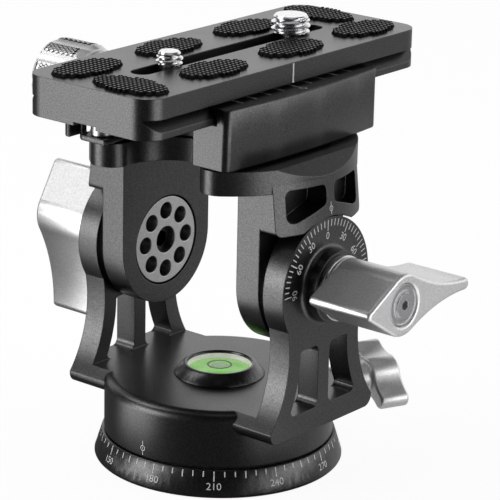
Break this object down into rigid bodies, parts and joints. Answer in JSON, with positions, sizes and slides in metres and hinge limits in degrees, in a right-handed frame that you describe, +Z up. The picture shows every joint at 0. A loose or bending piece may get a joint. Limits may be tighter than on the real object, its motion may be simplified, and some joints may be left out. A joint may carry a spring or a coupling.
{
  "type": "monopod tilt head",
  "caption": "Two-way tilt head for a monopod: panning base with a degree scale, tilting cradle between two uprights, lever locks, bubble level and a screw clamp with a dovetail camera plate.",
  "frame": {"origin": "on the pan axis, in the plane of the base's underside, at the mouth of the threaded hole", "axes": "+Z up along the pan axis, +X along the tilt axis, +Y along the camera plate"},
  "size_m": [0.11, 0.1, 0.1053],
  "materials": {
    "black_aluminium": "bead-blasted and black anodised",
    "silver_aluminium": "bead-blasted and clear anodised",
    "steel": "turned",
    "polished_steel": "polished",
    "rubber": "pyramid grip",
    "bearing_plastic": "bearing plastic",
    "bronze": "turned bronze",
    "black_plastic": "moulded",
    "level_liquid": "clear green liquid",
    "level_air": "air bubble",
    "level_lens": "clear"
  },
  "bodies": {
    "base": {"base_ring": "black_aluminium", "thread_insert": "steel", "pan_spindle": "bronze", "spindle_screws": "steel", "pan_washer": "bearing_plastic", "cap_washer": "bearing_plastic", "retaining_cap": "steel", "cap_screws": "steel"},
    "yoke": {"pan_yoke": "black_aluminium", "brake_shoe": "bronze", "level_cup": "black_plastic", "level_vial": "level_liquid", "level_bubble": "level_air", "level_lens": "level_lens", "tilt_bushing_right": "bronze", "tilt_bushing_left": "bronze", "friction_washer_right": "bearing_plastic", "friction_washer_left": "bearing_plastic"},
    "pan_lock": {"pan_lock_stud": "steel", "pan_lock_knob": "silver_aluminium"},
    "cradle": {"tilt_cradle": "black_aluminium", "face_nut_right": "silver_aluminium", "face_nut_left": "silver_aluminium", "tilt_axle_right": "steel", "tilt_axle_left": "steel", "clamp_body": "black_aluminium", "clamp_bolts": "steel", "jaw_guide_pins": "steel", "stop_pins": "polished_steel"},
    "right_handle": {"tilt_handle_right": "silver_aluminium", "handle_collar_right": "polished_steel", "handle_screw_right": "polished_steel"},
    "left_handle": {"tilt_handle_left": "silver_aluminium", "handle_collar_left": "polished_steel", "handle_screw_left": "polished_steel"},
    "jaw": {"moving_jaw": "black_aluminium"},
    "clamp_knob": {"clamp_knob": "silver_aluminium", "clamp_screw": "steel", "screw_clip": "steel"},
    "plate": {"camera_plate": "black_aluminium", "plate_pads": "rubber"},
    "quarter_carrier": {"quarter_clip": "steel"},
    "quarter_turn": {"quarter_screw": "polished_steel"},
    "large_carrier": {"three_eighths_clip": "steel"},
    "large_turn": {"three_eighths_screw": "polished_steel"}
  },
  "joints": [
    {"name": "pan", "type": "hinge", "parent": "base", "child": "yoke", "pos_m": [0, 0, 0], "axis": [0, 0, 1], "continuous": true},
    {"name": "pan_lock_turn", "type": "hinge", "parent": "yoke", "child": "pan_lock", "pos_m": [0, 0, 0.0134], "axis": [0.4067, 0.9135, 0], "range_deg": [-40, 20]},
    {"name": "tilt", "type": "hinge", "parent": "yoke", "child": "cradle", "pos_m": [0, 0, 0.0504], "axis": [1, 0, 0], "range_deg": [-72, 90]},
    {"name": "right_handle_turn", "type": "hinge", "parent": "yoke", "child": "right_handle", "pos_m": [0, 0, 0.0504], "axis": [1, 0, 0], "range_deg": [-60, 60]},
    {"name": "left_handle_turn", "type": "hinge", "parent": "yoke", "child": "left_handle", "pos_m": [0, 0, 0.0504], "axis": [1, 0, 0], "range_deg": [-60, 60]},
    {"name": "jaw_slide", "type": "slide", "parent": "cradle", "child": "jaw", "axis": [-1, 0, 0], "range_m": [0, 0.004]},
    {"name": "clamp_knob_turn", "type": "hinge", "parent": "jaw", "child": "clamp_knob", "pos_m": [-0.04, 0.0017, 0.0846], "axis": [1, 0, 0], "range_deg": [0, 720]},
    {"name": "plate_slide", "type": "slide", "parent": "cradle", "child": "plate", "axis": [0, 1, 0], "range_m": [-0.015, 0.015]},
    {"name": "quarter_slide", "type": "slide", "parent": "plate", "child": "quarter_carrier", "axis": [0, 1, 0], "range_m": [-0.009, 0.013]},
    {"name": "quarter_spin", "type": "hinge", "parent": "quarter_carrier", "child": "quarter_turn", "pos_m": [0, -0.0199, 0.1], "axis": [0, 0, 1], "continuous": true},
    {"name": "large_slide", "type": "slide", "parent": "plate", "child": "large_carrier", "axis": [0, 1, 0], "range_m": [-0.013, 0.0079]},
    {"name": "large_spin", "type": "hinge", "parent": "large_carrier", "child": "large_turn", "pos_m": [0, 0.0244, 0.1], "axis": [0, 0, 1], "continuous": true}
  ],
  "couplings": [
    {"joint": "clamp_knob_turn", "follows": "jaw_slide", "rad_per_m": 3141}
  ]
}
